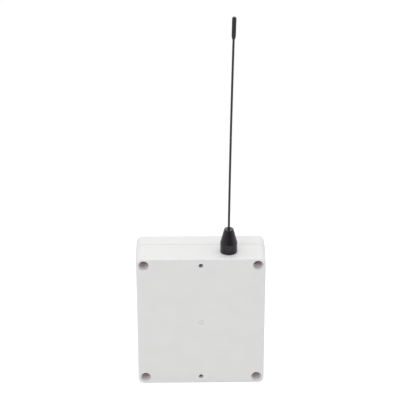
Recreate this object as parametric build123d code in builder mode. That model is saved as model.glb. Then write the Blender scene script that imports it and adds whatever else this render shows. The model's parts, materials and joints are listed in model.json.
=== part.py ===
"""Wall-mounted radio transmitter: a moulded box in two halves with a screw-on whip antenna.

The box stands on its flat bottom, and the origin is at the middle of that bottom. The rear face, which
holds the screw holes and goes against the wall, looks along -Y. The cover is on the +Y side, and +Z is up.
All sizes are in millimetres.
"""

import math
import os

from build123d import *

os.makedirs("parts", exist_ok=True)

# Box
box_width = 85.0
box_height = 96.5
box_depth = 33.0
housing_depth = 20.2
side_flare = 0.5
cover_draw = 0.3
corner_radius = 4.0
rear_edge_radius = 0.8
front_edge_radius = 1.6
seam_bevel = 0.1
seam_gap = 0.3
shell_wall = 2.8
rear_wall = 2.8
front_wall = 2.4

# Half-lap joint of the two halves, with its rubber seal
rim_wall = 1.4
ledge_drop = 3.5
seal_thickness = 1.5
seal_play = 0.1
tongue_play = 0.15

# Corner posts and the cover screws in them
post_inset = 4.9
post_wall = 1.4
counterbore_radius = 3.4
counterbore_depth = 14.0
screw_shank_radius = 1.45
screw_passage_play = 0.25
screw_pilot_play = 0.05
screw_head_radius = 2.8
screw_head_height = 2.2
screw_length = 12.0
screw_tip_room = 1.0
recess_width = 0.8
recess_span = 3.2
recess_depth = 1.2

# Two holes for the wall screws
wall_hole_radius = 1.55
wall_hole_inset = 5.15
wall_hole_land = 6.0
wall_head_radius = 3.1
wall_head_relief = 2.0
column_wall = 1.4

# Round mark that the moulding gate left in the middle of the rear face
gate_radius = 1.5
gate_depth = 0.12

# Circuit board
board_side_gap = 3.2
board_edge_gap = 11.5
board_thickness = 1.6
boss_radius = 3.0
board_screw_inset = 4.5
board_screw_radius = 1.0
board_screw_length = 5.5
board_screw_play = 0.05
board_hole_play = 0.2
board_head_radius = 1.9
board_head_height = 1.5
board_recess_width = 0.6
board_recess_span = 2.2
board_recess_depth = 0.8

# Coin cells and their holders
cell_radius = 12.25
cell_thickness = 5.0
cell_cap_radius = 10.9
cell_cap_step = 0.3
cell_edge_radius = 0.5
cell_play = 0.25
cell_underside_gap = 0.1
cells_inset = 18.5
cell_pitch = 32.0
holder_wall = 1.5
holder_floor = 1.0
holder_height = 5.0
finger_slot = 11.0
contact_thickness = 0.3
rim_contact_width = 5.0
floor_contact_width = 3.6
floor_contact_length = 15.0

# Radio board on the main board, placed by the socket of the lead in its corner
radio_width = 19.0
radio_height = 24.0
radio_thickness = 0.8
radio_pad_count = 8
radio_pad_pitch = 2.54
radio_pad_size = 1.2
radio_pad_height = 0.5
shield_width = 15.5
shield_height = 14.5
shield_depth = 2.3
shield_wall = 0.25
shield_drop = 3.0
shield_hole_radius = 0.6
shield_hole_pitch = 3.6

# Parts soldered to the main board: insets from its right side and rises from its lower edge
chip_inset = 22.0
chip_rise = 18.5
chip_size = 7.0
chip_depth = 1.2
chip_standoff = 0.15
chip_pin_count = 8
chip_pin_pitch = 0.8
chip_pin_width = 0.35
chip_pin_reach = 1.0
chip_pin_depth = 0.5
crystal_inset = 22.0
crystal_rise = 26.5
crystal_length = 11.2
crystal_width = 4.8
crystal_can_inset = 0.35
crystal_depth = 3.5
crystal_flange = 0.4
capacitor_inset = 6.0
capacitor_rise = 31.5
capacitor_radius = 4.0
capacitor_length = 11.5
capacitor_bead = 0.6
led_inset = 5.5
led_rise = 23.5
led_length = 2.0
led_width = 1.25
led_depth = 0.9
small_part_length = 1.6
small_part_width = 0.8
small_part_depth = 0.6
small_part_pitch = 2.6
small_part_gap = 5.5
small_part_header_rise = 4.0

# Pairing button
button_inset = 6.0
button_rise = 15.5
button_size = 6.2
button_depth = 3.1
button_floor = 1.0
button_frame_thickness = 0.3
button_pocket_radius = 2.4
button_collar_play = 0.15
button_stem_radius = 1.7
button_stem_play = 0.06
button_stem_rise = 1.1
button_travel = 0.25
button_rest_room = 0.05
dome_thickness = 0.2

# Programming header
header_inset = 29.5
header_rise = 5.0
header_pins_wanted = 5
header_pitch = 2.54
header_depth = 2.5
header_pin_width = 0.64
header_pin_front = 8.5
header_pin_back = 1.4
header_hole_radius = 0.5

# Antenna jack in the top wall
antenna_inset = 24.0
antenna_from_rear = 10.4
thread_radius = 3.175
panel_hole_play = 0.15
jack_rise = 6.8
jack_flange_apothem = 4.0
jack_flange_height = 1.6
jack_barrel_wall = 0.35
jack_barrel_height = 2.6
crimp_radius = 1.6
crimp_height = 3.5
jack_mouth_radius = 2.3
jack_mouth_depth = 1.9
jack_mouth_shelf = 0.25
jack_contact_radius = 0.635
jack_contact_bore_depth = 2.4
lock_washer_thickness = 0.5
lock_washer_radius = 4.3
lock_washer_teeth = 8
washer_slot_width = 0.8
jack_seal_thickness = 0.5
nut_apothem = 4.0
jack_nut_height = 1.8

# Coax lead from the jack to the radio board
lead_radius = 0.565
lead_bend_radius = 6.0
lead_straight = 7.0
lead_play = 0.035
socket_base = 2.6
socket_base_depth = 0.35
socket_side_inset = 1.75
socket_top_inset = 3.0
socket_ring_radius = 1.0
socket_depth = 1.2
plug_radius = 1.3
plug_wall = 0.25
plug_floor_gap = 0.1
plug_depth = 1.5
plug_barrel_radius = 0.74
plug_reach = 3.7
plug_lead_stop = 1.4

# Whip antenna
boot_wall = 0.75
boot_nut_play = 0.28
boot_seal_play = 0.4
boot_top_radius = 3.05
boot_shoulder = 7.0
boot_height = 16.8
boot_foot_radius = 0.3
boot_lip_radius = 0.25
boot_floor_gap = 0.15
boot_skirt_gap = 0.2
boot_mouth_radius = 1.1
boot_mouth_depth = 1.2
coupling_foot_gap = 0.1
coupling_lip = 0.6
coupling_corner_radius = 4.4
thread_play = 0.04
turn_play = 0.06
stop_gap = 0.05
seat_gap = 0.02
ferrule_plug_play = 0.05
ferrule_flange_play = 0.175
ferrule_flange_height = 0.5
ferrule_stem_radius = 2.0
ferrule_top_room = 1.45
ferrule_end_gap = 0.15
pin_radius = 0.457
pin_play = 0.043
pin_engaged = 1.85
pin_top = 9.0
inner_sleeve_radius = 1.6
inner_sleeve_top_room = 0.2
whip_radius = 0.72
whip_straight_rise = 0.9
whip_first_bend_rise = 8.0
whip_first_bend_lean = 0.04
whip_arc_top = 149.0
whip_lean = 2.05
cap_length = 14.5
cap_radius = 1.38
cap_foot_radius = 1.0
cap_taper = 1.8
cap_round = 1.2
cap_bore_play = 0.03
whip_in_cap = 12.0

# Levels and places that follow from those sizes
rear_y = -box_depth / 2
front_y = box_depth / 2
seam_y = rear_y + housing_depth
cover_rim_y = seam_y + seam_gap
ledge_y = seam_y - ledge_drop
seam_half = box_width / 2 + side_flare
inner_rear_y = rear_y + rear_wall
antenna_x = box_width / 2 - antenna_inset
antenna_y = rear_y + antenna_from_rear
plug_rear_y = antenna_y - plug_depth / 2
radio_front_y = plug_rear_y - plug_floor_gap - socket_base_depth
board_front_y = radio_front_y - radio_thickness
board_rear_y = board_front_y - board_thickness
head_seat_y = rear_y + counterbore_depth
middle_z = box_height / 2
ledge_width = shell_wall - rim_wall
post_radius = counterbore_radius + post_wall
column_radius = wall_head_radius + column_wall
post_x = box_width / 2 - post_inset
post_places = [(x, z) for x in (-post_x, post_x) for z in (post_inset, box_height - post_inset)]
wall_hole_places = [(0, z) for z in (wall_hole_inset, box_height - wall_hole_inset)]
board_half = seam_half - shell_wall - board_side_gap
board_screw_x = board_half - board_screw_inset
board_low_z = board_edge_gap
board_high_z = box_height - board_edge_gap
board_screw_places = [
    (x, z)
    for x in (-board_screw_x, board_screw_x)
    for z in (board_low_z + board_screw_inset, board_high_z - board_screw_inset)
]
cell_places = {"lower": middle_z - cell_pitch / 2, "upper": middle_z + cell_pitch / 2}
cells_x = cells_inset - board_half
holder_radius = cell_radius + cell_play + holder_wall
chip_x = board_half - chip_inset
chip_z = board_low_z + chip_rise
crystal_x = board_half - crystal_inset
crystal_z = board_low_z + crystal_rise
capacitor_x = board_half - capacitor_inset
capacitor_z = board_low_z + capacitor_rise
led_x = board_half - led_inset
led_z = board_low_z + led_rise
button_x = board_half - button_inset
button_z = board_low_z + button_rise
header_x = board_half - header_inset
header_z = board_low_z + header_rise

# Levels of the antenna jack below the top face, and the lead's way from it to the radio board
flange_top = -shell_wall - lock_washer_thickness
flange_low = flange_top - jack_flange_height
barrel_low = flange_low - jack_barrel_height
crimp_low = barrel_low - crimp_height
bend_top_z = box_height + crimp_low - lead_straight
plug_x = antenna_x - lead_bend_radius - plug_reach - lead_radius
plug_z = bend_top_z - lead_bend_radius
radio_x = plug_x - socket_side_inset + radio_width / 2
radio_z = plug_z + socket_top_inset - radio_height / 2


def facing(y):
    """The plane at this depth, seen from behind the box: its x is X, its y is Z and it faces the wall."""
    return Plane.XZ.offset(-y)


def tapered_block(rear_half, front_half, from_y, to_y):
    """The solid outside of one half of the box, whose sides flare or draw in between two depths."""
    with BuildPart() as block:
        with BuildSketch(Plane.XY):
            with BuildLine():
                Polyline(
                    (-rear_half, from_y),
                    (rear_half, from_y),
                    (front_half, to_y),
                    (-front_half, to_y),
                    close=True,
                )
            make_face()
        extrude(amount=box_height)
        long_edges = block.edges().filter_by(lambda edge: edge.bounding_box().size.Y > (to_y - from_y) / 2)
        fillet(long_edges, corner_radius)
    return block.part


def inner_space(y, inset, ring):
    """The room between the walls at one depth, less a ring round each post and column."""
    with BuildSketch(facing(y)) as space:
        with Locations((0, middle_z)):
            RectangleRounded(
                2 * (seam_half - inset),
                box_height - 2 * inset,
                max(corner_radius - inset, rim_wall / 2),
            )
        with Locations(*post_places):
            Circle(post_radius + ring, mode=Mode.SUBTRACT)
        with Locations(*wall_hole_places):
            Circle(column_radius + ring, mode=Mode.SUBTRACT)
    return space.sketch


def lap_ring(y, outer_play, inner_play):
    """The ring-shaped room between the rim and the ledge of the housing, less a little play."""
    with BuildSketch(facing(y)) as ring:
        add(inner_space(y, rim_wall + outer_play, outer_play))
        add(inner_space(y, shell_wall - inner_play, ledge_width - inner_play), mode=Mode.SUBTRACT)
    return ring.sketch


def cross_recess(y, places, width, span):
    """The cross of a screwdriver's recess at each place."""
    with BuildSketch(facing(y)) as cross:
        with Locations(*places):
            Rectangle(width, span)
            Rectangle(span, width)
    return cross.sketch


def turned(profile):
    """A solid turned about the antenna's axis, from points of radius and height above the top face."""
    plane = Plane.XZ.offset(-antenna_y)
    with BuildPart() as piece:
        with BuildSketch(plane):
            with BuildLine():
                corners = [(antenna_x + radius, box_height + height) for radius, height in profile]
                Polyline(*corners, close=True)
            make_face()
        revolve(axis=Axis((antenna_x, antenna_y, 0), (0, 0, 1)))
    return piece.part


def above_top(height):
    """The level plane at a height above the box's top face, centred on the antenna's axis."""
    return Plane(origin=(antenna_x, antenna_y, box_height + height), x_dir=(1, 0, 0), z_dir=(0, 0, 1))


# The two halves of the box
with BuildPart() as rear_housing:
    add(tapered_block(box_width / 2, seam_half, rear_y, seam_y))
    fillet(rear_housing.faces().sort_by(Axis.Y)[0].edges(), rear_edge_radius)
    chamfer(rear_housing.faces().sort_by(Axis.Y)[-1].edges(), seam_bevel)
    extrude(
        inner_space(seam_y, shell_wall, ledge_width),
        amount=seam_y - inner_rear_y,
        mode=Mode.SUBTRACT,
    )
    extrude(inner_space(seam_y, rim_wall, 0), amount=ledge_drop, mode=Mode.SUBTRACT)
    with Locations(facing(rear_y)):
        with Locations(*post_places):
            CounterBoreHole(
                radius=screw_shank_radius + screw_passage_play,
                counter_bore_radius=counterbore_radius,
                counter_bore_depth=counterbore_depth,
            )
        with Locations(*wall_hole_places):
            Hole(wall_hole_radius)
    with BuildSketch(facing(seam_y)):
        with Locations(*wall_hole_places):
            Circle(wall_head_radius)
    extrude(amount=housing_depth - wall_hole_land, mode=Mode.SUBTRACT)
    with BuildSketch(facing(board_rear_y)):
        with Locations(*board_screw_places):
            Circle(boss_radius)
    extrude(amount=board_rear_y - inner_rear_y)
    with BuildSketch(facing(board_rear_y)):
        with Locations(*board_screw_places):
            Circle(board_screw_radius + board_screw_play)
    extrude(amount=board_screw_length - board_thickness + board_screw_play, mode=Mode.SUBTRACT)
    with BuildSketch(above_top(0)):
        Circle(thread_radius + panel_hole_play)
    extrude(amount=-shell_wall, mode=Mode.SUBTRACT)
    with BuildSketch(facing(rear_y)):
        with Locations((0, middle_z)):
            Circle(gate_radius)
    extrude(amount=-gate_depth, mode=Mode.SUBTRACT)
rear_housing.part.label = "rear_housing"
export_step(rear_housing.part, "parts/rear_housing.step")

with BuildPart() as front_cover:
    add(tapered_block(seam_half, seam_half - cover_draw, cover_rim_y, front_y))
    fillet(front_cover.faces().sort_by(Axis.Y)[-1].edges(), front_edge_radius)
    chamfer(front_cover.faces().sort_by(Axis.Y)[0].edges(), seam_bevel)
    extrude(
        inner_space(front_y - front_wall, shell_wall, ledge_width),
        amount=front_y - front_wall - cover_rim_y,
        mode=Mode.SUBTRACT,
    )
    extrude(
        lap_ring(cover_rim_y, tongue_play, 0),
        amount=cover_rim_y - ledge_y - seal_thickness - seal_play,
    )
    with BuildSketch(facing(cover_rim_y)):
        with Locations(*post_places):
            Circle(screw_shank_radius + screw_pilot_play)
    extrude(amount=cover_rim_y - head_seat_y - screw_length - screw_tip_room, mode=Mode.SUBTRACT)
    with BuildSketch(facing(cover_rim_y)):
        with Locations(*wall_hole_places):
            Circle(wall_head_radius)
    extrude(amount=-wall_head_relief, mode=Mode.SUBTRACT)
front_cover.part.label = "front_cover"
export_step(front_cover.part, "parts/front_cover.step")

with BuildPart() as cover_seal:
    extrude(lap_ring(ledge_y + seal_thickness, seal_play, seal_play), amount=seal_thickness)
cover_seal.part.label = "cover_seal"
export_step(cover_seal.part, "parts/cover_seal.step")

with BuildPart() as cover_screws:
    with BuildSketch(facing(head_seat_y + screw_length)):
        with Locations(*post_places):
            Circle(screw_shank_radius)
    extrude(amount=screw_length)
    with BuildSketch(facing(head_seat_y)):
        with Locations(*post_places):
            Circle(screw_head_radius)
    extrude(amount=screw_head_height)
    fillet(cover_screws.faces().group_by(Axis.Y)[0].edges(), screw_head_height / 3)
    extrude(
        cross_recess(head_seat_y - screw_head_height, post_places, recess_width, recess_span),
        amount=-recess_depth,
        mode=Mode.SUBTRACT,
    )
    chamfer(cover_screws.faces().group_by(Axis.Y)[-1].edges(), screw_shank_radius / 2)
cover_screws.part.label = "cover_screws"
export_step(cover_screws.part, "parts/cover_screws.step")

# The circuit board and its screws
header_pin_places = [
    (header_x + (index - (header_pins_wanted - 1) / 2) * header_pitch, header_z)
    for index in range(header_pins_wanted)
]

with BuildPart() as circuit_board:
    with BuildSketch(facing(board_front_y)):
        with Locations((0, middle_z)):
            Rectangle(2 * board_half, board_high_z - board_low_z)
        with Locations(*board_screw_places):
            Circle(board_screw_radius + board_hole_play, mode=Mode.SUBTRACT)
        with Locations(*header_pin_places):
            Circle(header_hole_radius, mode=Mode.SUBTRACT)
    extrude(amount=board_thickness)
circuit_board.part.label = "circuit_board"
export_step(circuit_board.part, "parts/circuit_board.step")

with BuildPart() as board_screws:
    with BuildSketch(facing(board_front_y)):
        with Locations(*board_screw_places):
            Circle(board_screw_radius)
    extrude(amount=board_screw_length)
    with BuildSketch(facing(board_front_y + board_head_height)):
        with Locations(*board_screw_places):
            Circle(board_head_radius)
    extrude(amount=board_head_height)
    fillet(board_screws.faces().group_by(Axis.Y)[-1].edges(), board_head_height / 3)
    extrude(
        cross_recess(
            board_front_y + board_head_height,
            board_screw_places,
            board_recess_width,
            board_recess_span,
        ),
        amount=board_recess_depth,
        mode=Mode.SUBTRACT,
    )
board_screws.part.label = "board_screws"
export_step(board_screws.part, "parts/board_screws.step")

# Two coin cells, each in a round holder that is open towards the cover
holder_floor_y = board_front_y + holder_floor
cell_rear_y = holder_floor_y + contact_thickness + cell_underside_gap
pocket_radius = cell_radius + cell_play
rim_contact_x = cells_x - pocket_radius

for place, cell_z in cell_places.items():
    with BuildPart() as cell_holder:
        with BuildSketch(facing(board_front_y + holder_height)):
            with Locations((cells_x, cell_z)):
                Circle(holder_radius)
        extrude(amount=holder_height)
        with BuildSketch(facing(board_front_y + holder_height)):
            with Locations((cells_x, cell_z)):
                Circle(pocket_radius)
            with Locations((cells_x + holder_radius, cell_z)):
                Rectangle(4 * holder_wall, finger_slot)
            with Locations((rim_contact_x, cell_z)):
                Rectangle(2 * contact_thickness, rim_contact_width)
        extrude(amount=holder_height - holder_floor, mode=Mode.SUBTRACT)
    cell_holder.part.label = f"{place}_cell_holder"
    export_step(cell_holder.part, f"parts/{place}_cell_holder.step")

    with BuildPart() as coin_cell:
        with BuildSketch(facing(cell_rear_y + cell_thickness)):
            with Locations((cells_x, cell_z)):
                Circle(cell_radius)
        extrude(amount=cell_thickness - cell_cap_step)
        fillet(coin_cell.faces().sort_by(Axis.Y)[-1].edges(), cell_edge_radius)
        with BuildSketch(facing(cell_rear_y + cell_cap_step)):
            with Locations((cells_x, cell_z)):
                Circle(cell_cap_radius)
        extrude(amount=cell_cap_step)
    coin_cell.part.label = f"{place}_coin_cell"
    export_step(coin_cell.part, f"parts/{place}_coin_cell.step")

with BuildPart() as positive_contacts:
    with BuildSketch(facing(board_front_y + holder_height)):
        with Locations(*[(rim_contact_x - contact_thickness / 2, z) for z in cell_places.values()]):
            Rectangle(contact_thickness, rim_contact_width)
    extrude(amount=holder_height - holder_floor)
positive_contacts.part.label = "positive_contacts"
export_step(positive_contacts.part, "parts/positive_contacts.step")

with BuildPart() as negative_contacts:
    with BuildSketch(facing(holder_floor_y + contact_thickness)):
        with Locations(*[(cells_x, z) for z in cell_places.values()]):
            Rectangle(floor_contact_length, floor_contact_width)
            Circle(floor_contact_width)
    extrude(amount=contact_thickness)
negative_contacts.part.label = "negative_contacts"
export_step(negative_contacts.part, "parts/negative_contacts.step")

# The radio board under its shield
radio_pad_places = [
    (radio_x + side * (radio_width + radio_pad_size) / 2, radio_z + row * radio_pad_pitch)
    for side in (-1, 1)
    for row in [index - (radio_pad_count - 1) / 2 for index in range(radio_pad_count)]
]
shield_z = radio_z - shield_drop

with BuildPart() as radio_board:
    with BuildSketch(facing(radio_front_y)):
        with Locations((radio_x, radio_z)):
            Rectangle(radio_width, radio_height)
    extrude(amount=radio_thickness)
radio_board.part.label = "radio_board"
export_step(radio_board.part, "parts/radio_board.step")

with BuildPart() as radio_pads:
    with BuildSketch(facing(board_front_y + radio_pad_height)):
        with Locations(*radio_pad_places):
            Rectangle(radio_pad_size, radio_pad_size)
    extrude(amount=radio_pad_height)
    chamfer(radio_pads.faces().group_by(Axis.Y)[-1].edges(), radio_pad_height / 2)
radio_pads.part.label = "radio_pads"
export_step(radio_pads.part, "parts/radio_pads.step")

with BuildPart() as radio_shield:
    with BuildSketch(facing(radio_front_y + shield_depth)):
        with Locations((radio_x, shield_z)):
            Rectangle(shield_width, shield_height)
    extrude(amount=shield_depth)
    fillet(radio_shield.faces().sort_by(Axis.Y)[-1].edges(), shield_wall)
    with BuildSketch(facing(radio_front_y + shield_depth - shield_wall)):
        with Locations((radio_x, shield_z)):
            Rectangle(shield_width - 2 * shield_wall, shield_height - 2 * shield_wall)
    extrude(amount=shield_depth - shield_wall, mode=Mode.SUBTRACT)
    with BuildSketch(facing(radio_front_y + shield_depth)):
        with Locations((radio_x, shield_z)):
            with GridLocations(shield_hole_pitch, shield_hole_pitch, 3, 3):
                Circle(shield_hole_radius)
    extrude(amount=shield_wall, mode=Mode.SUBTRACT)
radio_shield.part.label = "radio_shield"
export_step(radio_shield.part, "parts/radio_shield.step")

# Controller, crystal, capacitor and small parts on the main board
with BuildPart() as controller_chip:
    with BuildSketch(facing(board_front_y + chip_standoff + chip_depth)):
        with Locations((chip_x, chip_z)):
            Rectangle(chip_size, chip_size)
    extrude(amount=chip_depth)
    chamfer(controller_chip.faces().sort_by(Axis.Y)[-1].edges(), chip_standoff)
controller_chip.part.label = "controller_chip"
export_step(controller_chip.part, "parts/controller_chip.step")

chip_pin_offset = (chip_size + chip_pin_reach) / 2
chip_pin_rows = [(index - (chip_pin_count - 1) / 2) * chip_pin_pitch for index in range(chip_pin_count)]
chip_pin_pairs = [(side * chip_pin_offset, row) for side in (-1, 1) for row in chip_pin_rows]

with BuildPart() as controller_pins:
    with BuildSketch(facing(board_front_y + chip_pin_depth)):
        with Locations(*[(chip_x + outward, chip_z + along) for outward, along in chip_pin_pairs]):
            Rectangle(chip_pin_reach, chip_pin_width)
        with Locations(*[(chip_x + along, chip_z + outward) for outward, along in chip_pin_pairs]):
            Rectangle(chip_pin_width, chip_pin_reach)
    extrude(amount=chip_pin_depth)
controller_pins.part.label = "controller_pins"
export_step(controller_pins.part, "parts/controller_pins.step")

with BuildPart() as timing_crystal:
    with BuildSketch(facing(board_front_y + crystal_flange)):
        with Locations((crystal_x, crystal_z)):
            SlotOverall(crystal_length, crystal_width)
    extrude(amount=crystal_flange)
    with BuildSketch(facing(board_front_y + crystal_depth)):
        with Locations((crystal_x, crystal_z)):
            SlotOverall(crystal_length - 2 * crystal_can_inset, crystal_width - 2 * crystal_can_inset)
    extrude(amount=crystal_depth - crystal_flange)
    fillet(timing_crystal.faces().sort_by(Axis.Y)[-1].edges(), crystal_can_inset)
timing_crystal.part.label = "timing_crystal"
export_step(timing_crystal.part, "parts/timing_crystal.step")

with BuildPart() as buffer_capacitor:
    with BuildSketch(facing(board_front_y + capacitor_length)):
        with Locations((capacitor_x, capacitor_z)):
            Circle(capacitor_radius)
    extrude(amount=capacitor_length)
    fillet(buffer_capacitor.faces().sort_by(Axis.Y)[-1].edges(), capacitor_bead)
buffer_capacitor.part.label = "buffer_capacitor"
export_step(buffer_capacitor.part, "parts/buffer_capacitor.step")

beside_chip = [(chip_x + (column - 1.5) * small_part_pitch, chip_z - chip_size) for column in range(4)]
beside_radio_x = radio_x + radio_width / 2 + small_part_gap
beside_radio = [(beside_radio_x, radio_z + (row - 2) * small_part_pitch) for row in range(5)]
beside_header_z = header_z + small_part_header_rise
beside_header = [(header_x + (column - 1) * small_part_pitch, beside_header_z) for column in range(3)]
beside_led = [(led_x - small_part_pitch * (1 + column), led_z) for column in range(2)]

with BuildPart() as small_parts:
    with BuildSketch(facing(board_front_y + small_part_depth)):
        with Locations(*beside_chip, *beside_radio, *beside_header, *beside_led):
            Rectangle(small_part_length, small_part_width)
    extrude(amount=small_part_depth)
small_parts.part.label = "small_parts"
export_step(small_parts.part, "parts/small_parts.step")

with BuildPart() as status_led:
    with BuildSketch(facing(board_front_y + led_depth)):
        with Locations((led_x, led_z)):
            Rectangle(led_length, led_width)
    extrude(amount=led_depth)
    fillet(status_led.faces().sort_by(Axis.Y)[-1].edges(), led_depth / 4)
status_led.part.label = "status_led"
export_step(status_led.part, "parts/status_led.step")

# The pairing button: the plunger presses a snap dome in the base, under a sheet-metal frame
button_collar_radius = button_pocket_radius - button_collar_play
button_top_y = board_front_y + button_depth
dome_front_y = board_front_y + button_floor + dome_thickness
plunger_rear_y = dome_front_y + button_travel + button_rest_room

with BuildPart() as button_base:
    with BuildSketch(facing(button_top_y)):
        with Locations((button_x, button_z)):
            Rectangle(button_size, button_size)
    extrude(amount=button_depth)
    with BuildSketch(facing(button_top_y)):
        with Locations((button_x, button_z)):
            Circle(button_pocket_radius)
    extrude(amount=button_depth - button_floor, mode=Mode.SUBTRACT)
button_base.part.label = "button_base"
export_step(button_base.part, "parts/button_base.step")

with BuildPart() as button_frame:
    with BuildSketch(facing(button_top_y + button_frame_thickness)):
        with Locations((button_x, button_z)):
            Rectangle(button_size, button_size)
            Circle(button_stem_radius + button_stem_play, mode=Mode.SUBTRACT)
    extrude(amount=button_frame_thickness)
button_frame.part.label = "button_frame"
export_step(button_frame.part, "parts/button_frame.step")

with BuildPart() as button_dome:
    with BuildSketch(facing(dome_front_y)):
        with Locations((button_x, button_z)):
            Circle(button_collar_radius)
    extrude(amount=dome_thickness)
button_dome.part.label = "button_dome"
export_step(button_dome.part, "parts/button_dome.step")

with BuildPart() as button_plunger:
    with BuildSketch(facing(button_top_y - button_rest_room)):
        with Locations((button_x, button_z)):
            Circle(button_collar_radius)
    extrude(amount=button_top_y - button_rest_room - plunger_rear_y)
    with BuildSketch(facing(button_top_y + button_frame_thickness + button_stem_rise)):
        with Locations((button_x, button_z)):
            Circle(button_stem_radius)
    extrude(amount=button_rest_room + button_frame_thickness + button_stem_rise)
    fillet(button_plunger.faces().sort_by(Axis.Y)[-1].edges(), button_stem_radius / 6)
button_plunger.part.label = "button_plunger"
export_step(button_plunger.part, "parts/button_plunger.step")

# The programming header
with BuildPart() as program_header:
    with BuildSketch(facing(board_front_y + header_depth)):
        with Locations(*header_pin_places):
            Rectangle(header_pitch, header_pitch)
            Rectangle(header_pin_width, header_pin_width, mode=Mode.SUBTRACT)
    extrude(amount=header_depth)
program_header.part.label = "program_header"
export_step(program_header.part, "parts/program_header.step")

with BuildPart() as header_pins:
    with BuildSketch(facing(board_front_y + header_pin_front)):
        with Locations(*header_pin_places):
            Rectangle(header_pin_width, header_pin_width)
    extrude(amount=header_pin_front + board_thickness + header_pin_back)
header_pins.part.label = "header_pins"
export_step(header_pins.part, "parts/header_pins.step")

# The antenna jack, held in the top wall between a lock washer inside and a seal and nut outside
mouth_floor = jack_rise - jack_mouth_depth
jack_insulator_radius = jack_mouth_radius - jack_mouth_shelf
sleeve_bore = jack_insulator_radius + seat_gap
jack_barrel_radius = jack_insulator_radius + jack_barrel_wall
nut_corner_radius = nut_apothem / math.cos(math.radians(30))
boot_skirt_radius = nut_corner_radius + boot_nut_play
boot_radius = boot_skirt_radius + boot_wall
lead_bore = lead_radius + lead_play

with BuildPart() as antenna_jack:
    add(
        turned(
            [
                (lead_bore, crimp_low),
                (crimp_radius, crimp_low),
                (crimp_radius, barrel_low),
                (jack_barrel_radius, barrel_low),
                (jack_barrel_radius, flange_low),
                (thread_radius, flange_low),
                (thread_radius, jack_rise),
                (jack_mouth_radius, jack_rise),
                (jack_mouth_radius, mouth_floor),
                (sleeve_bore, mouth_floor),
                (sleeve_bore, barrel_low + seat_gap),
                (lead_bore, barrel_low + seat_gap),
            ]
        )
    )
    with BuildSketch(above_top(flange_low)):
        RegularPolygon(jack_flange_apothem, 6, major_radius=False)
        Circle(jack_barrel_radius, mode=Mode.SUBTRACT)
    extrude(amount=jack_flange_height)
antenna_jack.part.label = "antenna_jack"
export_step(antenna_jack.part, "parts/antenna_jack.step")

with BuildPart() as jack_insulator:
    with BuildSketch(above_top(barrel_low + 2 * seat_gap)):
        Circle(jack_insulator_radius)
        Circle(jack_contact_radius + seat_gap, mode=Mode.SUBTRACT)
    extrude(amount=mouth_floor - barrel_low - 2 * seat_gap)
jack_insulator.part.label = "jack_insulator"
export_step(jack_insulator.part, "parts/jack_insulator.step")

with BuildPart() as jack_contact:
    with BuildSketch(above_top(barrel_low + 2 * seat_gap)):
        Circle(jack_contact_radius)
    extrude(amount=mouth_floor - barrel_low - 2 * seat_gap)
    with BuildSketch(above_top(mouth_floor)):
        Circle(pin_radius + pin_play)
    extrude(amount=-jack_contact_bore_depth, mode=Mode.SUBTRACT)
jack_contact.part.label = "jack_contact"
export_step(jack_contact.part, "parts/jack_contact.step")

with BuildPart() as jack_lock_washer:
    with BuildSketch(above_top(flange_top)):
        Circle(lock_washer_radius)
        with PolarLocations(thread_radius, lock_washer_teeth):
            Rectangle(washer_slot_width, washer_slot_width, mode=Mode.SUBTRACT)
        Circle(thread_radius + panel_hole_play, mode=Mode.SUBTRACT)
    extrude(amount=lock_washer_thickness)
jack_lock_washer.part.label = "jack_lock_washer"
export_step(jack_lock_washer.part, "parts/jack_lock_washer.step")

with BuildPart() as jack_seal:
    with BuildSketch(above_top(0)):
        Circle(boot_skirt_radius - boot_seal_play)
        Circle(thread_radius + thread_play, mode=Mode.SUBTRACT)
    extrude(amount=jack_seal_thickness)
jack_seal.part.label = "jack_seal"
export_step(jack_seal.part, "parts/jack_seal.step")

with BuildPart() as jack_nut:
    with BuildSketch(above_top(jack_seal_thickness)):
        RegularPolygon(nut_apothem, 6, major_radius=False)
        Circle(thread_radius + thread_play, mode=Mode.SUBTRACT)
    extrude(amount=jack_nut_height)
jack_nut.part.label = "jack_nut"
export_step(jack_nut.part, "parts/jack_nut.step")

# The coax lead: down from the jack, round one bend, and into a small plug on the radio board
lead_top_z = box_height + barrel_low

with BuildPart() as coax_socket:
    with BuildSketch(facing(radio_front_y + socket_base_depth)):
        with Locations((plug_x, plug_z)):
            Rectangle(socket_base, socket_base)
    extrude(amount=socket_base_depth)
    with BuildSketch(facing(radio_front_y + socket_depth)):
        with Locations((plug_x, plug_z)):
            Circle(socket_ring_radius)
            Circle(socket_ring_radius - plug_wall, mode=Mode.SUBTRACT)
    extrude(amount=socket_depth - socket_base_depth)
coax_socket.part.label = "coax_socket"
export_step(coax_socket.part, "parts/coax_socket.step")

with BuildPart() as coax_plug:
    with BuildSketch(Plane.YZ.offset(plug_x + plug_reach)):
        with Locations((antenna_y, plug_z)):
            Circle(plug_barrel_radius)
    extrude(amount=-plug_reach)
    with BuildSketch(facing(plug_rear_y + plug_depth)):
        with Locations((plug_x, plug_z)):
            Circle(plug_radius)
    extrude(amount=plug_depth)
    with BuildSketch(facing(plug_rear_y + plug_depth - plug_wall)):
        with Locations((plug_x, plug_z)):
            Circle(socket_ring_radius + seat_gap)
    extrude(amount=plug_depth, mode=Mode.SUBTRACT)
    with BuildSketch(Plane.YZ.offset(plug_x + plug_reach)):
        with Locations((antenna_y, plug_z)):
            Circle(lead_bore)
    extrude(amount=plug_lead_stop - plug_reach, mode=Mode.SUBTRACT)
coax_plug.part.label = "coax_plug"
export_step(coax_plug.part, "parts/coax_plug.step")

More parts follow.
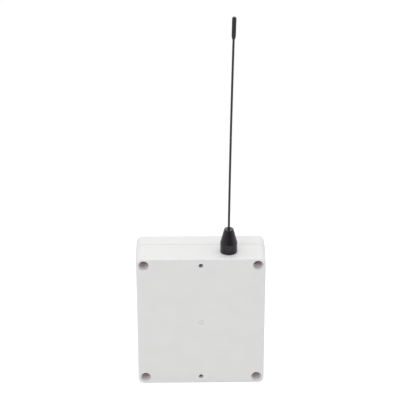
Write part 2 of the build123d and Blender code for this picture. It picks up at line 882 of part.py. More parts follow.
with BuildPart() as coax_lead:
    with BuildLine() as lead_path:
        lead_drop = Line((antenna_x, antenna_y, lead_top_z), (antenna_x, antenna_y, bend_top_z))
        lead_bend = TangentArc(
            lead_drop @ 1,
            (antenna_x - lead_bend_radius, antenna_y, plug_z),
            tangent=lead_drop % 1,
        )
        Line(lead_bend @ 1, (plug_x + plug_lead_stop, antenna_y, plug_z))
    with BuildSketch(Plane(origin=lead_drop @ 0, z_dir=lead_drop % 0)):
        Circle(lead_radius)
    sweep()
coax_lead.part.label = "coax_lead"
export_step(coax_lead.part, "parts/coax_lead.step")

# The antenna: a boot and its nut turn about a ferrule that holds the whip
ferrule_foot = mouth_floor + ferrule_end_gap
flange_foot = jack_rise + stop_gap
stem_foot = flange_foot + ferrule_flange_height
stem_bore = ferrule_stem_radius + turn_play
skirt_top = jack_seal_thickness + jack_nut_height + boot_skirt_gap
coupling_top = stem_foot + stop_gap + coupling_lip
coupling_low = skirt_top + coupling_foot_gap
mouth_low = boot_height - boot_mouth_depth
ferrule_plug_radius = jack_mouth_radius - ferrule_plug_play
ferrule_flange_radius = thread_radius - ferrule_flange_play
ferrule_top = mouth_low - ferrule_top_room
inner_sleeve_top = mouth_low - inner_sleeve_top_room

with BuildPart() as coupling_nut:
    with BuildSketch(above_top(coupling_low)):
        RegularPolygon(nut_apothem, 6, major_radius=False)
        Circle(coupling_corner_radius, mode=Mode.INTERSECT)
    extrude(amount=coupling_top - coupling_low)
    with BuildSketch(above_top(coupling_low)):
        Circle(thread_radius + thread_play)
    extrude(amount=coupling_top - coupling_lip - coupling_low, mode=Mode.SUBTRACT)
    with BuildSketch(above_top(coupling_top)):
        Circle(stem_bore)
    extrude(amount=-coupling_lip, mode=Mode.SUBTRACT)
coupling_nut.part.label = "coupling_nut"
export_step(coupling_nut.part, "parts/coupling_nut.step")

with BuildPart() as antenna_boot:
    add(
        turned(
            [
                (boot_skirt_radius, boot_floor_gap),
                (boot_radius, boot_floor_gap),
                (boot_radius, boot_shoulder),
                (boot_top_radius, boot_height),
                (boot_mouth_radius, boot_height),
                (boot_mouth_radius, mouth_low),
                (stem_bore, mouth_low),
                (stem_bore, skirt_top),
                (boot_skirt_radius, skirt_top),
            ]
        )
    )
    fillet(antenna_boot.edges().group_by(Axis.Z)[0].sort_by(SortBy.RADIUS)[-1], boot_foot_radius)
    fillet(antenna_boot.edges().group_by(Axis.Z)[-1].sort_by(SortBy.RADIUS)[-1], boot_lip_radius)
    with BuildSketch(above_top(skirt_top)):
        RegularPolygon(nut_apothem + seat_gap, 6, major_radius=False)
        Circle(coupling_corner_radius + seat_gap, mode=Mode.INTERSECT)
    extrude(amount=coupling_top + seat_gap - skirt_top, mode=Mode.SUBTRACT)
antenna_boot.part.label = "antenna_boot"
export_step(antenna_boot.part, "parts/antenna_boot.step")

with BuildPart() as antenna_ferrule:
    add(
        turned(
            [
                (inner_sleeve_radius + seat_gap, ferrule_foot),
                (ferrule_plug_radius, ferrule_foot),
                (ferrule_plug_radius, flange_foot),
                (ferrule_flange_radius, flange_foot),
                (ferrule_flange_radius, stem_foot),
                (ferrule_stem_radius, stem_foot),
                (ferrule_stem_radius, ferrule_top),
                (inner_sleeve_radius + seat_gap, ferrule_top),
            ]
        )
    )
antenna_ferrule.part.label = "antenna_ferrule"
export_step(antenna_ferrule.part, "parts/antenna_ferrule.step")

with BuildPart() as antenna_insulator:
    with BuildSketch(above_top(ferrule_foot)):
        Circle(inner_sleeve_radius)
        Circle(pin_radius + seat_gap, mode=Mode.SUBTRACT)
    extrude(amount=inner_sleeve_top - ferrule_foot)
    with BuildSketch(above_top(pin_top)):
        Circle(whip_radius + seat_gap)
    extrude(amount=inner_sleeve_top - pin_top, mode=Mode.SUBTRACT)
antenna_insulator.part.label = "antenna_insulator"
export_step(antenna_insulator.part, "parts/antenna_insulator.step")

with BuildPart() as antenna_pin:
    with BuildSketch(above_top(mouth_floor - pin_engaged)):
        Circle(pin_radius)
    extrude(amount=pin_top - mouth_floor + pin_engaged)
antenna_pin.part.label = "antenna_pin"
export_step(antenna_pin.part, "parts/antenna_pin.step")

with BuildPart() as whip_rod:
    with BuildLine() as whip_path:
        whip_foot = Line(
            (antenna_x, antenna_y, box_height + pin_top),
            (antenna_x, antenna_y, box_height + boot_height + whip_straight_rise),
        )
        whip_first_bend = TangentArc(
            whip_foot @ 1,
            whip_foot @ 1 + (whip_first_bend_lean, 0, whip_first_bend_rise),
            tangent=whip_foot % 1,
        )
        whip_arc = TangentArc(
            whip_first_bend @ 1,
            (antenna_x + whip_lean, antenna_y, box_height + whip_arc_top),
            tangent=whip_first_bend % 1,
        )
        Line(whip_arc @ 1, whip_arc @ 1 + (whip_arc % 1) * whip_in_cap)
    with BuildSketch(Plane(origin=whip_foot @ 0, z_dir=whip_foot % 0)):
        Circle(whip_radius)
    sweep()
whip_rod.part.label = "whip_rod"
export_step(whip_rod.part, "parts/whip_rod.step")

cap_foot_plane = Plane(origin=whip_arc @ 1, x_dir=(0, 1, 0), z_dir=whip_arc % 1)

with BuildPart() as tip_cap:
    with BuildSketch(cap_foot_plane):
        Circle(cap_foot_radius)
    with BuildSketch(cap_foot_plane.offset(cap_taper)):
        Circle(cap_radius)
    loft()
    with BuildSketch(cap_foot_plane.offset(cap_taper)):
        Circle(cap_radius)
    extrude(amount=cap_length - cap_taper)
    fillet(tip_cap.faces().sort_by(Axis.Z)[-1].edges(), cap_round)
    with BuildSketch(cap_foot_plane):
        Circle(whip_radius + cap_bore_play)
    extrude(amount=whip_in_cap, mode=Mode.SUBTRACT)
tip_cap.part.label = "tip_cap"
export_step(tip_cap.part, "parts/tip_cap.step")
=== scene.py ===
"""The wall-mounted radio transmitter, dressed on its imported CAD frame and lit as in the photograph."""

import json
import math
import random

import bmesh
import bpy
from mathutils import Matrix, Vector


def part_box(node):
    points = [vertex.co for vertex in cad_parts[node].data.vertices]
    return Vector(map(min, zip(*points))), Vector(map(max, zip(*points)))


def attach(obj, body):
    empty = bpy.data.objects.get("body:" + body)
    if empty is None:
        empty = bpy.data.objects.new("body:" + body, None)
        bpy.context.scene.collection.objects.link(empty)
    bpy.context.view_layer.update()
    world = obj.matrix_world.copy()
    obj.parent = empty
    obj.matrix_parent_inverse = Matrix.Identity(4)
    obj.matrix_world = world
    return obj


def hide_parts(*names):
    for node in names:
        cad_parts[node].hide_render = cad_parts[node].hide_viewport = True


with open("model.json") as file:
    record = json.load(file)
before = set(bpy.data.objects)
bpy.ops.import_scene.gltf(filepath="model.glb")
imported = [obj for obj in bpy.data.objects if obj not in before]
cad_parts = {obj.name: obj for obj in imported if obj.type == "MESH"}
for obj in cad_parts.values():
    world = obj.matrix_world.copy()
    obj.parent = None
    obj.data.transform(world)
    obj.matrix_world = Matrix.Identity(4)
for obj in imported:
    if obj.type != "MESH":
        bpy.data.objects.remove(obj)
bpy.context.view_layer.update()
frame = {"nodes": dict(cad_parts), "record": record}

MM = 0.001
nodes = frame["nodes"]

# Camera, as fitted to the box's corners, holes and antenna in the photograph
IMAGE_WIDTH = 400
CAMERA_FOCAL_PIXELS = 1488.6
SENSOR_WIDTH = 36.0
CAMERA_PLACE = (-0.0088, -0.8670, 0.5713)
CAMERA_PITCH = 26.894
CAMERA_YAW = 0.561
CAMERA_ROLL = -0.139

# Sizes of the holes, the gate mark, the screws and the jack's thread, in millimetres
COUNTERBORE_RADIUS = 3.4
COUNTERBORE_DEPTH = 14.0
# How far past the holes' walls and floors their painted light and shade reaches
PAINTED_SHADING_PAST_WALL = 0.02
PAINTED_SHADING_PAST_FLOOR = 0.1
WALL_HOLE_RADIUS = 1.55
WALL_HOLE_SPACING = 86.2
WALL_HOLE_SEEN = 4.2
GATE_RADIUS = 1.5
GATE_DEPTH = 0.12
SCREW_LENGTH = 12.0
SCREW_ROOT = 1.12
SCREW_CREST = 1.44
SCREW_PITCH = 1.15
JACK_THREAD = 3.175
JACK_PITCH = 0.7056

# A thread's ridge: half its foot and half its crest in pitches, and how deep it starts in the core
RIDGE_FOOT = 0.42
RIDGE_CREST = 0.08
RIDGE_START = 0.02
RIDGE_SUNK = 0.03

# The controller's pins, and what stands on the main board, in the way of its plated rings
PIN_COUNT = 8
PIN_PITCH = 0.8
PIN_PAST_CHIP = 0.8
BOARD_PARTS = (
    "lower_cell_holder", "upper_cell_holder", "radio_board", "radio_pads", "controller_chip",
    "controller_pins", "timing_crystal", "buffer_capacitor", "status_led", "button_base", "program_header",
)
RING_COUNT = 46
RING_SEED = 7

# Levels of light in the surround, and where glossy surfaces find it dark in front and brighter above
WORLD_LIGHT = 0.73
FRONT_DARK = 0.0
TOP_BRIGHT = 2.5
REAR_AND_UP = (0, 0.85, 0.53)
DARK_UNTIL = -0.8
FULL_FROM = 0.3
BRIGHTER_ABOVE = 0.1

# The floor: its half width, its tone, and its glow at distances from the object, all in metres. The glow is
# painted light, strongest next to the object, where it washes out the object's shadow, and rising again far
# off.
FLOOR_REACH = 6.0
FLOOR_TONE = 0.76
FLOOR_PAINTED_GLOW = [(0.08, 0.45), (0.24, 0.28), (0.75, 0.35), (1.0, 0.39), (2.0, 0.46)]


def new_material(name):
    """An empty node material with its shader and output, and the row frame's coordinates."""
    material = bpy.data.materials.new(name)
    material.use_nodes = True
    tree = material.node_tree
    tree.nodes.clear()
    output = tree.nodes.new("ShaderNodeOutputMaterial")
    shader = tree.nodes.new("ShaderNodeBsdfPrincipled")
    coordinates = tree.nodes.new("ShaderNodeTexCoord")
    tree.links.new(shader.outputs["BSDF"], output.inputs["Surface"])
    return material, tree, shader, coordinates.outputs["Object"]


def noise(tree, vector, size, detail=2.0, stretch=(1, 1, 1)):
    """Noise whose features are about this many metres across."""
    mapping = tree.nodes.new("ShaderNodeMapping")
    mapping.inputs["Scale"].default_value = stretch
    texture = tree.nodes.new("ShaderNodeTexNoise")
    texture.inputs["Scale"].default_value = 1.0 / size
    texture.inputs["Detail"].default_value = detail
    tree.links.new(vector, mapping.inputs["Vector"])
    tree.links.new(mapping.outputs["Vector"], texture.inputs["Vector"])
    return texture.outputs["Fac"]


def blend_colours(tree, factor, low, high):
    """A colour that runs from low to high as the factor does."""
    ramp = tree.nodes.new("ShaderNodeValToRGB")
    ramp.color_ramp.elements[0].position = 0.3
    ramp.color_ramp.elements[1].position = 0.7
    ramp.color_ramp.elements[0].color = (*low, 1)
    ramp.color_ramp.elements[1].color = (*high, 1)
    tree.links.new(factor, ramp.inputs["Fac"])
    return ramp.outputs["Color"]


def spread(tree, factor, low, high):
    """A number that runs from low to high as the factor goes through its middle range."""
    remap = tree.nodes.new("ShaderNodeMapRange")
    remap.inputs["From Min"].default_value = 0.3
    remap.inputs["From Max"].default_value = 0.7
    remap.inputs["To Min"].default_value = low
    remap.inputs["To Max"].default_value = high
    tree.links.new(factor, remap.inputs["Value"])
    return remap.outputs["Result"]


def steps(tree, factor, stops):
    """A number that follows a line through stops of factor and value, the last of them the furthest."""
    furthest = stops[-1][0]
    share = tree.nodes.new("ShaderNodeMath")
    share.operation = "DIVIDE"
    share.inputs[1].default_value = furthest
    ramp = tree.nodes.new("ShaderNodeValToRGB")
    elements = ramp.color_ramp.elements
    elements.remove(elements[1])
    elements[0].position = stops[0][0] / furthest
    elements[0].color = (stops[0][1],) * 3 + (1,)
    for position, value in stops[1:]:
        elements.new(position / furthest).color = (value,) * 3 + (1,)
    tree.links.new(factor, share.inputs[0])
    tree.links.new(share.outputs["Value"], ramp.inputs["Fac"])
    return ramp.outputs["Color"]


def seen_rays(tree, unseen, seen):
    """A number that is one value for rays that show the background, and another for the light it gives."""
    path = tree.nodes.new("ShaderNodeLightPath")
    first = tree.nodes.new("ShaderNodeMath")
    first.operation = "MAXIMUM"
    second = tree.nodes.new("ShaderNodeMath")
    second.operation = "MAXIMUM"
    remap = tree.nodes.new("ShaderNodeMapRange")
    remap.inputs["To Min"].default_value = unseen
    remap.inputs["To Max"].default_value = seen
    tree.links.new(path.outputs["Is Camera Ray"], first.inputs[0])
    tree.links.new(path.outputs["Is Glossy Ray"], first.inputs[1])
    tree.links.new(first.outputs["Value"], second.inputs[0])
    tree.links.new(path.outputs["Is Transmission Ray"], second.inputs[1])
    tree.links.new(second.outputs["Value"], remap.inputs["Value"])
    return remap.outputs["Result"]


def bump(tree, shader, height, depth):
    """Raises the surface by depth metres where height is 1."""
    node = tree.nodes.new("ShaderNodeBump")
    node.inputs["Distance"].default_value = depth
    tree.links.new(height, node.inputs["Height"])
    tree.links.new(node.outputs["Normal"], shader.inputs["Normal"])


def shaded(colour, share):
    """The colour times a share."""
    return tuple(channel * share for channel in colour)


def moulded_plastic(
    name, colour, roughness, grain=0.35, depth=0.006, mottle=0.03, specular=0.4, sheen=(1, 1, 1)
):
    """Moulded plastic: a fine grain, with faint drifts in its colour and gloss. Sizes are in mm."""
    material, tree, shader, place = new_material(name)
    drift = noise(tree, place, 14 * MM, detail=3.0)
    fine = noise(tree, place, grain * MM, detail=3.0)
    tint_and_painted_shading = blend_colours(tree, drift, shaded(colour, 1 - mottle), colour)
    tree.links.new(tint_and_painted_shading, shader.inputs["Base Color"])
    tree.links.new(spread(tree, fine, roughness - 0.05, roughness + 0.05), shader.inputs["Roughness"])
    shader.inputs["Specular IOR Level"].default_value = specular
    shader.inputs["Specular Tint"].default_value = (*sheen, 1)
    bump(tree, shader, fine, depth * MM)
    return material


def near_holes(tree, place, across, middle_z, rise, radius):
    """One within a radius of four axes along Y, and else none.

    The axes lie at this far across to both sides, and at a rise above and below a middle height.
    """
    lowered = tree.nodes.new("ShaderNodeVectorMath")
    lowered.operation = "SUBTRACT"
    lowered.inputs[1].default_value = (0, 0, middle_z * MM)
    folded = tree.nodes.new("ShaderNodeVectorMath")
    folded.operation = "ABSOLUTE"
    offset = tree.nodes.new("ShaderNodeVectorMath")
    offset.operation = "MULTIPLY_ADD"
    offset.inputs[1].default_value = (1, 0, 1)
    offset.inputs[2].default_value = (-across * MM, 0, -rise * MM)
    reach = tree.nodes.new("ShaderNodeVectorMath")
    reach.operation = "LENGTH"
    inside = tree.nodes.new("ShaderNodeMath")
    inside.operation = "LESS_THAN"
    inside.inputs[1].default_value = radius * MM
    tree.links.new(place, lowered.inputs[0])
    tree.links.new(lowered.outputs["Vector"], folded.inputs[0])
    tree.links.new(folded.outputs["Vector"], offset.inputs[0])
    tree.links.new(offset.outputs["Vector"], reach.inputs[0])
    tree.links.new(reach.outputs["Value"], inside.inputs[0])
    return inside.outputs["Value"]


def mixed_colour(tree, factor, low, high):
    """The colour of one socket or another, by a factor from 0 to 1."""
    mix = tree.nodes.new("ShaderNodeMix")
    mix.data_type = "RGBA"
    from_colour, to_colour = [socket for socket in mix.inputs if socket.type == "RGBA"]
    tree.links.new(factor, mix.inputs["Factor"])
    tree.links.new(low, from_colour)
    tree.links.new(high, to_colour)
    return next(socket for socket in mix.outputs if socket.type == "RGBA")


def case_plastic(name, colour, corner_hole_painted_light, wall_hole_painted_light_and_shade):
    """The shells' plastic, with painted light and shade in its screw holes: the corner holes' walls painted
    lighter and pinker, the wall holes' walls painted lighter at the mouth and darker deep in.
    """
    material = moulded_plastic(name, colour, 0.5)
    tree = material.node_tree
    shader = tree.nodes["Principled BSDF"]
    place = tree.nodes["Texture Coordinate"].outputs["Object"]
    low, high = span("rear_housing")
    middle_z = (low[2] + high[2]) / 2
    posts = [middle(screw) for screw in solids("cover_screws")]
    corner_x = max(x for x, _, _ in posts)
    corner_rise = max(z for _, _, z in posts) - middle_z
    parts = tree.nodes.new("ShaderNodeSeparateXYZ")
    behind = tree.nodes.new("ShaderNodeMath")
    behind.operation = "LESS_THAN"
    behind.inputs[1].default_value = (low[1] + COUNTERBORE_DEPTH + PAINTED_SHADING_PAST_FLOOR) * MM
    tree.links.new(place, parts.inputs["Vector"])
    tree.links.new(parts.outputs["Y"], behind.inputs[0])
    shade = shader.inputs["Base Color"].links[0].from_socket
    # Painted light and shade: each hole's walls run from one painted colour at the mouth to another deep in
    for across, rise, radius, deep, hole_painted_shading in (
        (corner_x, corner_rise, COUNTERBORE_RADIUS, COUNTERBORE_DEPTH, corner_hole_painted_light),
        (0, WALL_HOLE_SPACING / 2, WALL_HOLE_RADIUS, WALL_HOLE_SEEN, wall_hole_painted_light_and_shade),
    ):
        inside = near_holes(tree, place, across, middle_z, rise, radius + PAINTED_SHADING_PAST_WALL)
        both = tree.nodes.new("ShaderNodeMath")
        both.operation = "MULTIPLY"
        tree.links.new(inside, both.inputs[0])
        tree.links.new(behind.outputs["Value"], both.inputs[1])
        depth = tree.nodes.new("ShaderNodeMapRange")
        depth.inputs["From Min"].default_value = low[1] * MM
        depth.inputs["From Max"].default_value = (low[1] + deep) * MM
        tree.links.new(parts.outputs["Y"], depth.inputs["Value"])
        painted_light_at_mouth, painted_shading_deep_in = [plain_colour(tree, tint_and_painted_shading) for tint_and_painted_shading in hole_painted_shading]
        tint_and_painted_shading = mixed_colour(tree, depth.outputs["Result"], painted_light_at_mouth, painted_shading_deep_in)
        # The painted light and shade of the holes, laid over the plastic's own colour
        shade = mixed_colour(tree, both.outputs["Value"], shade, tint_and_painted_shading)
    tree.links.new(shade, shader.inputs["Base Color"])
    return material


def plain_colour(tree, colour):
    """One colour as a socket."""
    node = tree.nodes.new("ShaderNodeRGB")
    node.outputs["Color"].default_value = (*colour, 1)
    return node.outputs["Color"]


def plated_metal(name, colour, roughness, grain=0.5, stretch=(1, 1, 1), mottle=0.12):
    """Plated metal: fine tool marks along one direction and slight tarnish."""
    material, tree, shader, place = new_material(name)
    marks = noise(tree, place, grain * MM, detail=4.0, stretch=stretch)
    tarnish = noise(tree, place, 3 * MM, detail=2.0)
    tint_and_painted_shading = blend_colours(tree, tarnish, shaded(colour, 1 - mottle), colour)
    tree.links.new(tint_and_painted_shading, shader.inputs["Base Color"])
    tree.links.new(spread(tree, marks, roughness - 0.06, roughness + 0.08), shader.inputs["Roughness"])
    shader.inputs["Metallic"].default_value = 1.0
    bump(tree, shader, marks, 0.004 * MM)
    return material


def make_materials():
    """One material for each of the record's slots, and more for the gate, the cells' plus sign painted dark
    as shade, print and tracks.
    """
    return {
        # The two pairs are painted light and shade for the corner holes and the wall holes: at the mouth, and
        # deep in
        "case_plastic": case_plastic(
            "case_plastic", (0.80, 0.80, 0.795),
            [(0.905, 0.897, 0.92), (0.985, 0.85, 0.875)], [(0.92, 0.90, 0.925), (0.52, 0.47, 0.52)],
        ),
        "gate_plastic": moulded_plastic("gate_plastic", (0.52, 0.52, 0.515), 0.5),
        "seal_rubber": moulded_plastic("seal_rubber", (0.05, 0.05, 0.05), 0.7),
        "zinc_steel": plated_metal("zinc_steel", (0.54, 0.55, 0.56), 0.42),
        "board_laminate": moulded_plastic("board_laminate", (0.02, 0.17, 0.07), 0.3, depth=0.002),
        "radio_laminate": moulded_plastic("radio_laminate", (0.02, 0.08, 0.20), 0.3, depth=0.002),
        "holder_plastic": moulded_plastic("holder_plastic", (0.04, 0.04, 0.045), 0.45),
        "cell_steel": plated_metal("cell_steel", (0.50, 0.50, 0.49), 0.3, stretch=(1, 1, 12)),
        # Painted shade: the cells' plus sign, darker than the can so that the raised sign reads as stamped
        "plus_sign_painted_shade": plated_metal("plus_sign_painted_shade", (0.24, 0.24, 0.235), 0.45),
        "spring_metal": plated_metal("spring_metal", (0.56, 0.55, 0.52), 0.25),
        "tin": plated_metal("tin", (0.52, 0.52, 0.51), 0.35),
        "chip_plastic": moulded_plastic("chip_plastic", (0.03, 0.03, 0.03), 0.55, grain=0.15),
        "capacitor_sleeve": moulded_plastic("capacitor_sleeve", (0.03, 0.05, 0.12), 0.28, depth=0.002),
        "ceramic": moulded_plastic("ceramic", (0.42, 0.33, 0.22), 0.5, grain=0.1),
        "led_lens": moulded_plastic("led_lens", (0.75, 0.78, 0.55), 0.15, depth=0.001),
        "plunger_plastic": moulded_plastic("plunger_plastic", (0.08, 0.08, 0.085), 0.4),
        "gold_plate": plated_metal("gold_plate", (0.72, 0.55, 0.22), 0.25),
        "nickel_plate": plated_metal("nickel_plate", (0.62, 0.61, 0.57), 0.3),
        "white_insulator": moulded_plastic("white_insulator", (0.86, 0.86, 0.84), 0.4),
        "lead_jacket": moulded_plastic("lead_jacket", (0.05, 0.05, 0.05), 0.45),
        "boot_plastic": moulded_plastic(
            "boot_plastic", (0.003, 0.002, 0.003), 0.25, specular=0.48, sheen=(1, 0.9, 1)
        ),
        "pale_print": moulded_plastic("pale_print", (0.72, 0.72, 0.70), 0.6, depth=0.001),
        "masked_copper": moulded_plastic("masked_copper", (0.045, 0.29, 0.12), 0.28, depth=0.001),
        "masked_blue_copper": moulded_plastic("masked_blue_copper", (0.05, 0.16, 0.34), 0.28, depth=0.001),
        "whip_coating": moulded_plastic(
            "whip_coating", (0.034, 0.03, 0.032), 0.5, depth=0.001, specular=0.3
        ),
    }


def dress_frame(materials):
    """Gives every carried-over CAD node the material of its slot."""
    for entry in frame["record"]["subparts"]:
        mesh = nodes[entry["node"]].data
        for index in range(len(mesh.materials)):
            mesh.materials[index] = materials[entry["material_slot"]]


class Shape:
    """The faces of one piece: points in millimetres, and for each face the number of its material."""

    def __init__(self):
        self.points = []
        self.faces = []
        self.finishes = []

    def stack(self, rings, finish=0, closed=False):
        """Joins rings of equally many points, and caps both ends or joins the last ring to the first."""
        start = len(self.points)
        count = len(rings[0])
        for ring in rings:
            self.points.extend(ring)
        pairs = [(index, index + 1) for index in range(len(rings) - 1)]
        if closed:
            pairs.append((len(rings) - 1, 0))
        for low, high in pairs:
            for index in range(count):
                after = (index + 1) % count
                low_edge = (low * count + index, low * count + after)
                high_edge = (high * count + after, high * count + index)
                self.faces.append(tuple(start + corner for corner in low_edge + high_edge))
                self.finishes.append(finish)
        if not closed:
            last = start + (len(rings) - 1) * count
            self.faces.append(tuple(range(start, start + count)))
            self.faces.append(tuple(range(last, last + count)))
            self.finishes += [finish, finish]

    def solid(self, place, levels, finish=0, closed=False):
        """Joins flat outlines of (across, up) at heights, through a function that places them."""
        self.stack([[place(u, v, height) for u, v in outline] for outline, height in levels], finish, closed)

    def turned(self, place, profile, finish=0, count=64, closed=False):
        """Turns points of radius and height about the place's axis."""
        self.solid(place, [(circle(radius, count), height) for radius, height in profile], finish, closed)

    def block(self, place, outline, height, chamfer=0.0, finish=0, foot=0.0):
        """An outline raised from its foot to a height, with its upper edge chamfered."""
        if chamfer:
            reach = max(abs(u) for u, v in outline)
            depth = max(abs(v) for u, v in outline)
            inner = [(u * (1 - chamfer / reach), v * (1 - chamfer / depth)) for u, v in outline]
            self.solid(place, [(outline, foot), (outline, height - chamfer), (inner, height)], finish)
        else:
            self.solid(place, [(outline, foot), (outline, height)], finish)

    def track(self, place, points, width, height, finish=0, foot=0.0):
        """A flat strip along straight runs, mitred where it turns and closed if its ends meet."""
        closed = points[0] == points[-1]
        ways = []
        for (u0, v0), (u1, v1) in zip(points, points[1:]):
            length = math.hypot(u1 - u0, v1 - v0)
            ways.append(((u1 - u0) / length, (v1 - v0) / length))
        before = [ways[-1] if closed else ways[0]] + ways
        after = ways if closed else ways + [ways[-1]]
        rings = []
        for (u, v), (du0, dv0), (du1, dv1) in zip(points, before, after):
            share = width / 2 / (1 + du0 * du1 + dv0 * dv1)
            du, dv = -(dv0 + dv1) * share, (du0 + du1) * share
            rings.append([
                place(u + du, v + dv, foot), place(u + du, v + dv, height),
                place(u - du, v - dv, height), place(u - du, v - dv, foot),
            ])
        self.stack(rings, finish, closed)

    def thread(self, place, root, crest, pitch, low, high, finish=0, count=40):
        """One helical ridge from low to high round the place's axis, run out to nothing at both ends."""
        total = int((high - low) / pitch * count)
        run_out = count / 2
        foot, top = pitch * RIDGE_FOOT, pitch * RIDGE_CREST
        start, sunk = root - RIDGE_START, root - RIDGE_SUNK
        rings = []
        for index in range(total + 1):
            angle = 2 * math.pi * index / count
            height = low + pitch * index / count
            swell = min(1.0, index / run_out, (total - index) / run_out)
            outer = start + (crest - start) * swell
            profile = [
                (sunk, height - foot), (outer, height - top), (outer, height + top), (sunk, height + foot),
            ]
            rings.append([place(r * math.cos(angle), r * math.sin(angle), h) for r, h in profile])
        self.stack(rings, finish)

    def copy_faces(self, node, keep, finish=0):
        """Takes the faces of a CAD node whose points all pass a test."""
        mesh = nodes[node].data
        points = [tuple(value / MM for value in vertex.co) for vertex in mesh.vertices]
        used = {}
        for polygon in mesh.polygons:
            if all(keep(points[vertex]) for vertex in polygon.vertices):
                for vertex in polygon.vertices:
                    if vertex not in used:
                        used[vertex] = len(self.points)
                        self.points.append(points[vertex])
                self.faces.append(tuple(used[vertex] for vertex in polygon.vertices))
                self.finishes.append(finish)

    def piece(self, name, body, slot, finishes, replaced=(), angle=35):
        """Makes the object, which rides on a body and may stand for CAD nodes."""
        mesh = bpy.data.meshes.new(name)
        mesh.from_pydata([tuple(value * MM for value in point) for point in self.points], [], self.faces)
        for material in finishes:
            mesh.materials.append(material)
        mesh.polygons.foreach_set("material_index", self.finishes)
        work = bmesh.new()
        work.from_mesh(mesh)
        bmesh.ops.remove_doubles(work, verts=work.verts, dist=0.0005 * MM)
        bmesh.ops.recalc_face_normals(work, faces=work.faces)
        work.to_mesh(mesh)
        work.free()
        mesh.shade_smooth()
        mesh.set_sharp_from_angle(angle=math.radians(angle))
        thing = bpy.data.objects.new(name, mesh)
        bpy.context.scene.collection.objects.link(thing)
        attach(thing, body)
        if replaced:
            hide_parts(*replaced)
        return thing


def round_points(radius, angles):
    """Points at a radius and at these angles."""
    return [(radius * math.cos(angle), radius * math.sin(angle)) for angle in angles]


def circle(radius, count=64):
    """Points round a circle."""
    return round_points(radius, [2 * math.pi * index / count for index in range(count)])


def rectangle(width, height, corner=0.0):
    """A rectangle about its middle, with its corners cut off if wanted."""
    u, v = width / 2, height / 2
    if not corner:
        return [(-u, -v), (u, -v), (u, v), (-u, v)]
    return [
        (-u + corner, -v), (u - corner, -v), (u, -v + corner), (u, v - corner),
        (u - corner, v), (-u + corner, v), (-u, v - corner), (-u, -v + corner),
    ]


def hexagon(apothem, limit, count=96):
    """Points round a hexagon whose corners reach no further than a limit."""
    points = []
    for index in range(count):
        angle = 2 * math.pi * index / count
        from_flat = (angle % (math.pi / 3)) - math.pi / 6
        radius = min(apothem / math.cos(from_flat), limit)
        points.append((radius * math.cos(angle), radius * math.sin(angle)))
    return points


def towards_cover(x, y, z):
    """Places across, up and outward on a face that looks towards the cover."""
    return lambda u, v, h: (x + u, y + h, z + v)


def upward(x, y, z):
    """Places across, back and up about an upright axis."""
    return lambda u, v, h: (x + u, y + v, z + h)


def span(node):
    """A CAD node's lowest and highest corners in millimetres."""
    low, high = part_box(node)
    return [value / MM for value in low], [value / MM for value in high]


def solids(node):
    """The corners, in millimetres, of each separate solid of a CAD node, from left to right and upwards."""
    mesh = nodes[node].data
    keys = [tuple(round(value / MM, 3) for value in vertex.co) for vertex in mesh.vertices]
    parent = {key: key for key in keys}

    def top(key):
        while parent[key] != key:
            parent[key] = parent[parent[key]]
            key = parent[key]
        return key

    for polygon in mesh.polygons:
        first = top(keys[polygon.vertices[0]])
        for vertex in polygon.vertices[1:]:
            parent[top(keys[vertex])] = first
    groups = {}
    for key in parent:
        groups.setdefault(top(key), []).append(key)
    boxes = [
        (tuple(min(axis) for axis in zip(*group)), tuple(max(axis) for axis in zip(*group)))
        for group in groups.values()
    ]
    return sorted(boxes, key=lambda box: (round(box[0][0], 1), box[0][2]))


def middle(box):
    """The middle of a pair of corners."""
    return [(low + high) / 2 for low, high in zip(*box)]


def dress_small_parts(materials):
    """Chip capacitors and resistors with plated ends in fillets of solder."""
    shape = Shape()
    for index, corners in enumerate(solids("small_parts")):
        x, _, z = middle(corners)
        length, height, width = [high - low for low, high in zip(*corners)]
        board = corners[0][1]
        place = towards_cover(x, board, z)
        shape.block(place, rectangle(length * 0.62, width * 0.94), height * 0.96, 0.04, index % 2)
        for side in (-1, 1):
            end = towards_cover(x + side * length * 0.4, board, z)
            shape.block(end, rectangle(length * 0.2, width), height, 0.06, 2)
            edge = side * length / 2
            toe, brim = edge + side * 0.35, edge + side * 0.03
            foot = [(edge, -0.4), (toe, -0.32), (toe, 0.32), (edge, 0.4)]
            brow = [(edge, -0.36), (brim, -0.3), (brim, 0.3), (edge, 0.36)]
            shape.solid(place, [(foot, 0), (brow, height * 0.7)], 2)
    finishes = [materials["ceramic"], materials["chip_plastic"], materials["tin"]]
    shape.piece("small_parts_on_board", "box", "ceramic", finishes, ["small_parts"])


def dress_controller(materials):
    """Bent pins round the chip, and the dimple at its first pin."""
    shape = Shape()
    low, high = span("controller_chip")
    centre = middle((low, high))
    half = (high[0] - low[0]) / 2
    bend = [
        (-0.2, 0.79), (0.26, 0.79), (0.48, 0.16), (1.0, 0.16),
        (1.0, 0.01), (0.38, 0.01), (0.16, 0.64), (-0.2, 0.64),
    ]
    for corners in solids("controller_pins"):
        x, _, z = middle(corners)
        board = corners[0][1]
        sideways = abs(x - centre[0]) > abs(z - centre[2])
        rings = []
        for across in (-0.17, 0.17):
            ring = []
            for out, height in bend:
                if sideways:
                    sign = 1 if x > centre[0] else -1
                    ring.append((centre[0] + sign * (half + out), board + height, z + across))
                else:
                    sign = 1 if z > centre[2] else -1
                    ring.append((x + across, board + height, centre[2] + sign * (half + out)))
            rings.append(ring)
        shape.stack(rings)
    shape.piece("controller_bent_pins", "box", "tin", [materials["tin"]], ["controller_pins"])
    mark = Shape()
    corner = towards_cover(low[0] + 1.1, high[1] - 0.005, high[2] - 1.1)
    mark.turned(corner, [(0.45, 0.0), (0.42, 0.02)], count=24)
    mark.piece("controller_first_pin_mark", "box", "chip_plastic", [materials["pale_print"]])


